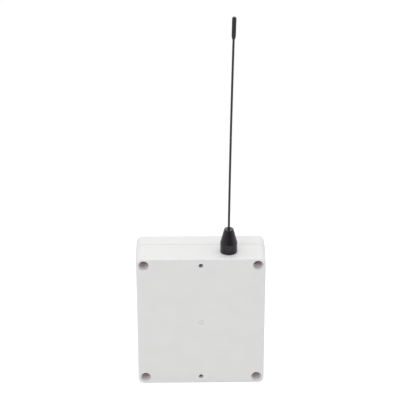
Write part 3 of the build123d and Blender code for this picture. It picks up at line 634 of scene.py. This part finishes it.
def dress_header(materials):
    """Notched blocks with pointed square pins."""
    blocks, pins = Shape(), Shape()
    base, top = span("program_header")
    for low, high in solids("header_pins"):
        x, _, z = middle((low, high))
        place = towards_cover(x, 0, z)
        blocks.block(place, rectangle(2.54, 2.5, 0.5), top[1], 0.12, foot=base[1])
        thin, thick = rectangle(0.3, 0.3), rectangle(0.64, 0.64)
        pins.solid(place, [(thin, low[1]), (thick, low[1] + 0.5), (thick, high[1] - 0.5), (thin, high[1])])
    blocks.piece("header_blocks", "box", "holder_plastic", [materials["holder_plastic"]], ["program_header"])
    pins.piece("header_pointed_pins", "box", "gold_plate", [materials["gold_plate"]], ["header_pins"])


def dress_capacitor(materials):
    """A sleeved can with its crimp, pale stripe and scored top."""
    shape = Shape()
    low, high = span("buffer_capacitor")
    x, _, z = middle((low, high))
    radius = (high[0] - low[0]) / 2
    top = high[1] - low[1]
    place = towards_cover(x, low[1], z)
    shape.turned(
        place,
        [
            (radius - 0.05, 0), (radius, 0.15), (radius, 1.2), (radius - 0.28, 1.5), (radius - 0.28, 1.7),
            (radius, 2.0), (radius, top - 0.8), (radius - 0.15, top - 0.3), (radius - 0.5, top),
            (radius - 0.65, top - 0.02), (radius - 0.7, top - 0.2),
        ],
        0,
        96,
    )
    arc = [math.radians(150 + step * 5) for step in range(13)]
    stripe = round_points(radius + 0.015, arc) + round_points(radius - 0.1, arc[::-1])
    shape.solid(place, [(stripe, 2.1), (stripe, top - 0.9)], 1)
    gap = 0.09
    for quarter in range(4):
        start = quarter * math.pi / 2
        rim = [start + 0.04 + step * (math.pi / 2 - 0.08) / 12 for step in range(13)]
        near_axis = (gap * (math.cos(start) - math.sin(start)), gap * (math.sin(start) + math.cos(start)))
        outline = [near_axis, *round_points(radius - 0.72, rim)]
        shape.solid(place, [(outline, top - 0.25), (outline, top - 0.08)], 2)
    finishes = [materials["capacitor_sleeve"], materials["pale_print"], materials["cell_steel"]]
    shape.piece("capacitor_can", "box", "capacitor_sleeve", finishes, ["buffer_capacitor"])


def dress_cells(materials):
    """Pressed cans with a seal ring at the rear, a turned-in edge and a plus sign on the front."""
    for cell in ("lower", "upper"):
        shape = Shape()
        low, high = span(f"{cell}_coin_cell")
        x, _, z = middle((low, high))
        radius = (high[0] - low[0]) / 2
        depth = high[1] - low[1]
        place = towards_cover(x, low[1], z)
        shape.turned(place, [(radius - 1.6, 0), (radius - 1.4, 0.1), (radius - 1.3, 0.5)], 0, 128)
        shape.turned(place, [(radius - 1.35, 0.2), (radius - 0.75, 0.2), (radius - 0.7, 0.5)], 1, 128)
        shape.turned(
            place,
            [
                (radius - 0.75, 0.32), (radius - 0.25, 0.36), (radius, 0.65), (radius, depth - 0.5),
                (radius - 0.12, depth - 0.2), (radius - 0.42, depth), (radius - 0.9, depth),
                (radius - 1.05, depth - 0.07), (radius - 2.4, depth - 0.07), (radius - 2.5, depth - 0.12),
                (radius - 2.75, depth - 0.12), (radius - 2.85, depth - 0.07),
            ],
            0,
            128,
        )
        arm, half = 1.6, 0.3
        plus = [
            (-half, -arm), (half, -arm), (half, -half), (arm, -half), (arm, half), (half, half),
            (half, arm), (-half, arm), (-half, half), (-arm, half), (-arm, -half), (-half, -half),
        ]
        # The plus is painted darker than the can, as painted shade that makes the raised sign read as stamped
        mark = towards_cover(x, low[1], z + radius * 0.5)
        shape.solid(mark, [(plus, depth - 0.1), (plus, depth - 0.02)], 2)
        finishes = [materials["cell_steel"], materials["seal_rubber"], materials["plus_sign_painted_shade"]]
        shape.piece(f"{cell}_cell_can", f"{cell}_cell", "cell_steel", finishes, [f"{cell}_coin_cell"])


def dress_button(materials):
    """Rivet heads on the button's frame, and its four legs."""
    rivets, legs = Shape(), Shape()
    low, high = span("button_frame")
    base, _ = span("button_base")
    x, _, z = middle((low, high))
    half = (high[0] - low[0]) / 2
    for side in (-1, 1):
        for row in (-1, 1):
            rivet = towards_cover(x + side * (half - 0.75), high[1], z + row * (half - 0.75))
            rivets.turned(rivet, [(0.5, -0.05), (0.5, 0.12), (0.35, 0.25)], count=20)
            leg = towards_cover(x + side * (half + 0.12), base[1], z + row * 2.25)
            legs.block(leg, rectangle(0.3, 0.7), high[1] - base[1] - 0.1, 0.05)
            foot = towards_cover(x + side * (half + 0.6), base[1], z + row * 2.25)
            legs.block(foot, rectangle(0.9, 0.7), 0.16, 0.05)
    rivets.piece("button_rivets", "box", "holder_plastic", [materials["holder_plastic"]])
    legs.piece("button_legs", "box", "tin", [materials["tin"]])


def dress_led(materials):
    """The plated ends of the indicator."""
    shape = Shape()
    low, high = span("status_led")
    width = high[2] - low[2]
    for x in (low[0] - 0.02, high[0] + 0.02):
        place = towards_cover(x, low[1], low[2] + width / 2)
        shape.block(place, rectangle(0.36, width + 0.04), 0.42, 0.05)
    shape.piece("indicator_ends", "box", "tin", [materials["tin"]])


def dress_gate(materials):
    """The raised ring inside the gate's mark in the middle of the rear face."""
    shape = Shape()
    low, high = span("rear_housing")
    place = towards_cover(0, low[1], (low[2] + high[2]) / 2)
    profile = [
        (GATE_RADIUS - 0.02, GATE_DEPTH + 0.02), (GATE_RADIUS - 0.02, 0.03),
        (GATE_RADIUS - 0.2, 0.03), (GATE_RADIUS - 0.26, GATE_DEPTH + 0.02),
    ]
    shape.turned(place, profile, count=64, closed=True)
    shape.piece("gate_ring", "box", "case_plastic", [materials["gate_plastic"]])


def dress_cover_screws(materials):
    """The screws' heads as they are, with a cut thread on each shank."""
    shape = Shape()
    for low, high in solids("cover_screws"):
        x, _, z = middle((low, high))
        seat = high[1] - SCREW_LENGTH
        shape.copy_faces(
            "cover_screws",
            lambda p: abs(p[0] - x) < 4 and abs(p[2] - z) < 4 and p[1] < seat + 0.01,
        )
        place = towards_cover(x, seat, z)
        core = [(SCREW_ROOT, -0.05), (SCREW_ROOT, SCREW_LENGTH - 0.9), (0.3, SCREW_LENGTH)]
        shape.turned(place, core, count=40)
        shape.thread(place, SCREW_ROOT, SCREW_CREST, SCREW_PITCH, 0.9, SCREW_LENGTH - 0.5)
    shape.piece("cover_screws_cut", "box", "zinc_steel", [materials["zinc_steel"]], ["cover_screws"])


def dress_jack(materials):
    """The antenna jack with its thread cut."""
    low, high = span("antenna_jack")
    axis = middle((low, high))
    box_top = span("jack_seal")[0][2]
    place = upward(axis[0], axis[1], box_top)
    rise = high[2] - box_top
    flange = span("jack_lock_washer")[0][2] - box_top
    core = JACK_THREAD - 0.3
    shape = Shape()
    shape.copy_faces("antenna_jack", lambda p: p[2] < box_top + flange + 0.01)
    tube = [
        (core, flange - 0.1), (core, rise - 0.35), (core - 0.25, rise),
        (2.3, rise), (2.3, rise - 1.9), (2.07, rise - 1.9), (2.07, flange - 0.1),
    ]
    shape.turned(place, tube, closed=True)
    shape.thread(place, core, JACK_THREAD - 0.01, JACK_PITCH, flange + 0.3, rise - 0.4, count=64)
    shape.piece("jack_with_thread", "box", "gold_plate", [materials["gold_plate"]], ["antenna_jack"])


def dress_jack_nut(materials):
    """The jack's nut with chamfered corners and a countersunk top."""
    low, high = span("jack_nut")
    x, y, _ = middle((low, high))
    height = high[2] - low[2]
    apothem = (high[1] - low[1]) / 2
    corner = apothem / math.cos(math.pi / 6)
    bore = JACK_THREAD + 0.04
    levels = [
        (hexagon(apothem, apothem + 0.1), 0), (hexagon(apothem, corner), 0.3),
        (hexagon(apothem, corner), height - 0.3), (hexagon(apothem, apothem + 0.1), height),
        (circle(JACK_THREAD + 0.25, 96), height), (circle(bore, 96), height - 0.2), (circle(bore, 96), 0),
    ]
    nut = Shape()
    nut.solid(upward(x, y, low[2]), levels, closed=True)
    finishes = [materials["nickel_plate"]]
    nut.piece("jack_nut_chamfered", "box", "nickel_plate", finishes, ["jack_nut"], angle=20)


def stepped_route(start, end, level, cut=0.7):
    """A track's way: up or down to a level, across, and on, with its corners cut."""
    (x0, z0), (x1, z1) = start, end
    side = 1 if x1 > x0 else -1
    away = 1 if level > z0 else -1
    onward = 1 if z1 > level else -1
    cut = min(cut, abs(x1 - x0) / 2, abs(level - z0), abs(z1 - level))
    return [
        (x0, z0), (x0, level - away * cut), (x0 + side * cut, level), (x1 - side * cut, level),
        (x1, level + onward * cut), (x1, z1),
    ]


def signal_routes():
    """The thin tracks from the controller's pins to the other parts, each as its width and its way."""
    board_side = span("circuit_board")[1][0]
    chip_low, chip_high = span("controller_chip")
    chip = middle((chip_low, chip_high))
    header = [middle(box) for box in solids("header_pins")]
    pads = [middle(box) for box in solids("radio_pads")]
    left_pads = sorted((pad[2], pad[0]) for pad in pads if pad[0] < chip[0])
    right_pads = sorted((pad[2], pad[0]) for pad in pads if pad[0] > chip[0])
    rows = [(index - (PIN_COUNT - 1) / 2) * PIN_PITCH for index in range(PIN_COUNT)]
    below, above = chip_low[2] - PIN_PAST_CHIP, chip_high[2] + PIN_PAST_CHIP
    left, right = chip_low[0] - PIN_PAST_CHIP, chip_high[0] + PIN_PAST_CHIP
    routes = []
    for index, pin in enumerate(header):
        start = (chip[0] + rows[index], below)
        routes.append((0.3, stepped_route(start, (pin[0], pin[2] + 1.4), below - 1.0 - index * 0.5)))
    for chip_side, side_pads, side, first in ((left, left_pads, -1, 1.6), (right, right_pads, 1, 1.4)):
        for index in range(6):
            height, across = side_pads[index]
            trunk = across + side * (first + index * 0.55)
            level = chip[2] + rows[PIN_COUNT - 1 - index]
            route = [
                (chip_side, level), (trunk - side * 0.6, level), (trunk, level + 0.6),
                (trunk, height - 0.6), (trunk - side * 0.6, height), (across, height),
            ]
            routes.append((0.3, route))
    crystal = middle(span("timing_crystal"))
    for side in (-1, 1):
        pin = chip[0] + side * 1.2
        pad = crystal[0] + side * 2.4
        routes.append((0.4, [(pin, above), (pin, above + 0.5), (pad, above + 1.7), (pad, crystal[2])]))
    button, led = middle(span("button_base")), middle(span("status_led"))
    route = [
        (right, chip[2] - 2.0), (right + 3, chip[2] - 2.0),
        (right + 4.5, button[2] + 2.25), (button[0] - 3.6, button[2] + 2.25),
    ]
    routes.append((0.3, route))
    route = [
        (button[0] + 3.6, button[2] - 2.25), (board_side - 2.2, button[2] - 3.2),
        (board_side - 2.2, led[2] - 1.2), (board_side - 3.4, led[2]), (led[0] + 1.2, led[2]),
    ]
    routes.append((0.5, route))
    return routes


def power_routes():
    """The wide tracks from the cells, round the edges of the main board, each as its width and its way."""
    low, high = span("circuit_board")
    half_way = (low[2] + high[2]) / 2
    chip = middle(span("controller_chip"))
    first_pin = middle(solids("header_pins")[0])
    cell = middle(span("lower_cell_holder"))
    reach = span("lower_cell_holder")[1][0]
    capacitor = middle(span("buffer_capacitor"))
    under_header = [
        (cell[0], low[2] + 2.2), (first_pin[0] - 6, low[2] + 2.2), (first_pin[0] - 4, low[2] + 1.2),
        (high[0] - 4, low[2] + 1.2), (high[0] - 1.2, low[2] + 4), (high[0] - 1.2, capacitor[2] - 2),
        (capacitor[0] + 2.5, capacitor[2]),
    ]
    beside_cells = [
        (reach - 1, half_way), (reach + 4.0, half_way), (reach + 5.2, half_way - 1.2),
        (reach + 5.2, chip[2] - 4), (first_pin[0], chip[2] - 7),
    ]
    round_cells = [
        (low[0] + 2, low[2] + 8), (low[0] + 2, high[2] - 8), (low[0] + 4, high[2] - 6),
        (cell[0] - 8, high[2] - 2), (reach + 12, high[2] - 2),
    ]
    return [(1.2, under_header), (1.0, beside_cells), (1.4, round_cells)]


def dress_tracks(materials):
    """Tracks under the green mask, each at its own height, so that none lies level with one it crosses."""
    copper = Shape()
    flat = towards_cover(0, span("circuit_board")[1][1], 0)
    for index, (width, route) in enumerate(signal_routes() + power_routes()):
        copper.track(flat, route, width, 0.03 + index * 0.002)
    copper.piece("board_tracks", "box", "board_laminate", [materials["masked_copper"]])


def dress_plated_rings(materials):
    """Plated rings scattered over the main board, clear of its parts and of each other."""
    low, high = span("circuit_board")
    rings = Shape()
    scatter = random.Random(RING_SEED)
    blocked = [span(name) for name in BOARD_PARTS]
    placed = []
    while len(placed) < RING_COUNT:
        x, z = scatter.uniform(low[0] + 2, high[0] - 2), scatter.uniform(low[2] + 2, high[2] - 2)
        clear = all(not (a[0] - 0.8 < x < b[0] + 0.8 and a[2] - 0.8 < z < b[2] + 0.8) for a, b in blocked)
        if clear and all(math.hypot(x - u, z - v) > 2.2 for u, v in placed):
            placed.append((x, z))
            via = towards_cover(x, high[1], z)
            rings.turned(via, [(0.32, 0), (0.32, 0.045), (0.14, 0.045), (0.14, 0)], count=20, closed=True)
    rings.piece("board_plated_rings", "box", "tin", [materials["tin"]])


def dress_print_lines(materials):
    """Pale outlines round the parts on the main board."""
    front = span("circuit_board")[1][1]
    flat = towards_cover(0, front, 0)
    lines = Shape()
    square_parts = (
        ("controller_chip", 1.7), ("timing_crystal", 0.5), ("button_base", 0.9),
        ("program_header", 0.5), ("radio_board", 1.6), ("status_led", 0.6),
    )
    for name, grow in square_parts:
        low, high = span(name)
        left, right, lower, upper = low[0] - grow, high[0] + grow, low[2] - grow, high[2] + grow
        outline = [(left, lower), (right, lower), (right, upper), (left, upper), (left, lower)]
        lines.track(flat, outline, 0.16, 0.05)
    for name, grow in (("buffer_capacitor", 0.45), ("lower_cell_holder", 0.35), ("upper_cell_holder", 0.35)):
        low, high = span(name)
        x, _, z = middle((low, high))
        inner = (high[0] - low[0]) / 2 + grow
        outer = inner + 0.16
        profile = [(inner, 0.036), (outer, 0.036), (outer, 0.05), (inner, 0.05)]
        lines.turned(towards_cover(x, front, z), profile, count=96, closed=True)
    lines.piece("board_print_lines", "box", "board_laminate", [materials["pale_print"]])


def dress_screw_lands(materials):
    """Bare metal rings under the heads of the main board's screws."""
    front = span("circuit_board")[1][1]
    lands = Shape()
    for corners in solids("board_screws"):
        x, _, z = middle(corners)
        profile = [(1.5, 0), (2.9, 0), (2.9, 0.04), (1.5, 0.04)]
        lands.turned(towards_cover(x, front, z), profile, count=40, closed=True)
    lands.piece("board_screw_lands", "box", "tin", [materials["tin"]])


def dress_radio(materials):
    """Plated half-round edges, tracks and a tuning part on the radio board."""
    low, high = span("radio_board")
    edges, copper = Shape(), Shape()
    for a, b in solids("radio_pads"):
        x, _, z = middle((a, b))
        inward = low[0] if x < low[0] else high[0]
        side = 1 if inward == low[0] else -1
        edges.block(towards_cover(inward + side * 0.55, high[1], z), rectangle(1.1, 1.2), 0.04)
        edges.block(towards_cover(inward - side * 0.02, low[1], z), rectangle(0.06, 1.0), high[1] - low[1])
    edges.piece("radio_edge_pads", "box", "gold_plate", [materials["gold_plate"]])
    socket = middle(span("coax_socket"))
    shield_left = span("radio_shield")[0][0]
    shield_right, _, shield_top = span("radio_shield")[1]
    flat = towards_cover(0, high[1], 0)
    feed = [
        (socket[0], socket[2]), (socket[0], shield_top + 1.6),
        (socket[0] + 1.2, shield_top + 0.6), (shield_right - 6, shield_top + 0.6),
    ]
    copper.track(flat, feed, 0.7, 0.035)
    for step in range(4):
        level = shield_top + 2.2 + step * 1.2
        copper.track(flat, [(shield_left + 5, level), (shield_right - 1, level)], 0.4, 0.035)
    copper.piece("radio_tracks", "box", "radio_laminate", [materials["masked_blue_copper"]])
    parts = Shape()
    for step in range(3):
        x = shield_left + 6.5 + step * 2.6
        z = shield_top + 3.4
        parts.block(towards_cover(x, high[1], z), rectangle(0.7, 0.5), 0.5, 0.04, 0)
        for side in (-1, 1):
            parts.block(towards_cover(x + side * 0.45, high[1], z), rectangle(0.2, 0.55), 0.52, 0.04, 1)
    parts.piece("radio_tuning_parts", "box", "ceramic", [materials["ceramic"], materials["tin"]])


def make_stage():
    """A plain white floor that takes the object's shadow, with a painted glow that washes that shadow out
    next to the object.
    """
    mesh = bpy.data.meshes.new("floor")
    corners = [(u, v, 0) for u, v in rectangle(2 * FLOOR_REACH, 2 * FLOOR_REACH)]
    mesh.from_pydata(corners, [], [(0, 1, 2, 3)])
    floor = bpy.data.objects.new("floor", mesh)
    bpy.context.scene.collection.objects.link(floor)
    material = bpy.data.materials.new("floor_paper_and_painted_glow")
    material.use_nodes = True
    tree = material.node_tree
    tree.nodes.clear()
    output = tree.nodes.new("ShaderNodeOutputMaterial")
    paper = tree.nodes.new("ShaderNodeBsdfDiffuse")
    paper.inputs["Color"].default_value = (FLOOR_TONE, FLOOR_TONE, FLOOR_TONE, 1)
    glow = tree.nodes.new("ShaderNodeEmission")
    both = tree.nodes.new("ShaderNodeAddShader")
    place = tree.nodes.new("ShaderNodeTexCoord")
    reach = tree.nodes.new("ShaderNodeVectorMath")
    reach.operation = "LENGTH"
    share = tree.nodes.new("ShaderNodeMath")
    share.operation = "MULTIPLY"
    tree.links.new(place.outputs["Object"], reach.inputs[0])
    # Painted light: a glow by distance from the object, for camera, glossy and transmission rays only
    tree.links.new(steps(tree, reach.outputs["Value"], FLOOR_PAINTED_GLOW), share.inputs[0])
    tree.links.new(seen_rays(tree, 0.0, 1.0), share.inputs[1])
    tree.links.new(share.outputs["Value"], glow.inputs["Strength"])
    tree.links.new(paper.outputs["BSDF"], both.inputs[0])
    tree.links.new(glow.outputs["Emission"], both.inputs[1])
    tree.links.new(both.outputs["Shader"], output.inputs["Surface"])
    mesh.materials.append(material)


def make_world():
    """A pale surround, white where it is seen, which glossy surfaces find dark in front and bright above."""
    world = bpy.data.worlds.new("surround")
    bpy.context.scene.world = world
    world.use_nodes = True
    tree = world.node_tree
    background = tree.nodes["Background"]
    background.inputs["Color"].default_value = (1, 1, 1, 1)
    direction = tree.nodes.new("ShaderNodeTexCoord")
    parts = tree.nodes.new("ShaderNodeSeparateXYZ")
    rearward = tree.nodes.new("ShaderNodeVectorMath")
    rearward.operation = "DOT_PRODUCT"
    rearward.inputs[1].default_value = REAR_AND_UP
    front = tree.nodes.new("ShaderNodeMapRange")
    front.interpolation_type = "SMOOTHSTEP"
    front.inputs["From Min"].default_value = DARK_UNTIL
    front.inputs["From Max"].default_value = FULL_FROM
    front.inputs["To Min"].default_value = FRONT_DARK
    front.inputs["To Max"].default_value = 1.0
    above = tree.nodes.new("ShaderNodeMapRange")
    above.inputs["From Min"].default_value = BRIGHTER_ABOVE
    above.inputs["To Min"].default_value = 1.0
    above.inputs["To Max"].default_value = TOP_BRIGHT
    gloss = tree.nodes.new("ShaderNodeMath")
    gloss.operation = "MULTIPLY"
    path = tree.nodes.new("ShaderNodeLightPath")
    mix = tree.nodes.new("ShaderNodeMix")
    tree.links.new(direction.outputs["Generated"], parts.inputs["Vector"])
    tree.links.new(direction.outputs["Generated"], rearward.inputs[0])
    tree.links.new(rearward.outputs["Value"], front.inputs["Value"])
    tree.links.new(path.outputs["Is Glossy Ray"], mix.inputs["Factor"])
    tree.links.new(seen_rays(tree, WORLD_LIGHT, 1.0), mix.inputs["A"])
    tree.links.new(parts.outputs["Z"], above.inputs["Value"])
    tree.links.new(front.outputs["Result"], gloss.inputs[0])
    tree.links.new(above.outputs["Result"], gloss.inputs[1])
    tree.links.new(gloss.outputs["Value"], mix.inputs["B"])
    tree.links.new(mix.outputs["Result"], background.inputs["Strength"])


def area_light(name, place, target, size, watts):
    """A square soft light at a place, turned to a target."""
    light = bpy.data.lights.new(name, "AREA")
    light.shape = "SQUARE"
    light.size = size
    light.energy = watts
    lamp = bpy.data.objects.new(name, light)
    lamp.location = place
    lamp.rotation_euler = (Vector(target) - Vector(place)).to_track_quat("-Z", "Y").to_euler()
    bpy.context.scene.collection.objects.link(lamp)


def make_lights():
    """A broad light overhead and a weaker one beside the camera."""
    target = (0, 0, 0.08)
    area_light("overhead", (0.12, -0.15, 1.3), target, size=1.1, watts=4.6)
    area_light("front_fill", (-0.7, -1.2, 0.7), target, size=0.9, watts=3.3)


def make_camera():
    """The photograph's viewpoint: pitched down, with a trace of yaw and roll."""
    camera = bpy.data.cameras.new("camera")
    camera.sensor_width = SENSOR_WIDTH
    camera.lens = SENSOR_WIDTH * CAMERA_FOCAL_PIXELS / IMAGE_WIDTH
    camera.clip_start = 0.01
    camera.clip_end = 20
    eye = bpy.data.objects.new("camera", camera)
    level = Matrix.Rotation(math.radians(90 - CAMERA_PITCH), 4, "X")
    yaw = Matrix.Rotation(math.radians(-CAMERA_YAW), 4, "Z")
    roll = Matrix.Rotation(math.radians(CAMERA_ROLL), 4, "Z")
    eye.matrix_world = Matrix.Translation(CAMERA_PLACE) @ yaw @ level @ roll
    bpy.context.scene.collection.objects.link(eye)
    bpy.context.scene.camera = eye


materials = make_materials()
dress_frame(materials)
dress_tracks(materials)
dress_plated_rings(materials)
dress_print_lines(materials)
dress_screw_lands(materials)
dress_small_parts(materials)
dress_controller(materials)
dress_header(materials)
dress_capacitor(materials)
dress_cells(materials)
dress_button(materials)
dress_led(materials)
dress_radio(materials)
dress_gate(materials)
dress_cover_screws(materials)
dress_jack(materials)
dress_jack_nut(materials)
make_stage()
make_world()
make_lights()
make_camera()
bpy.context.scene.view_settings.view_transform = "Standard"
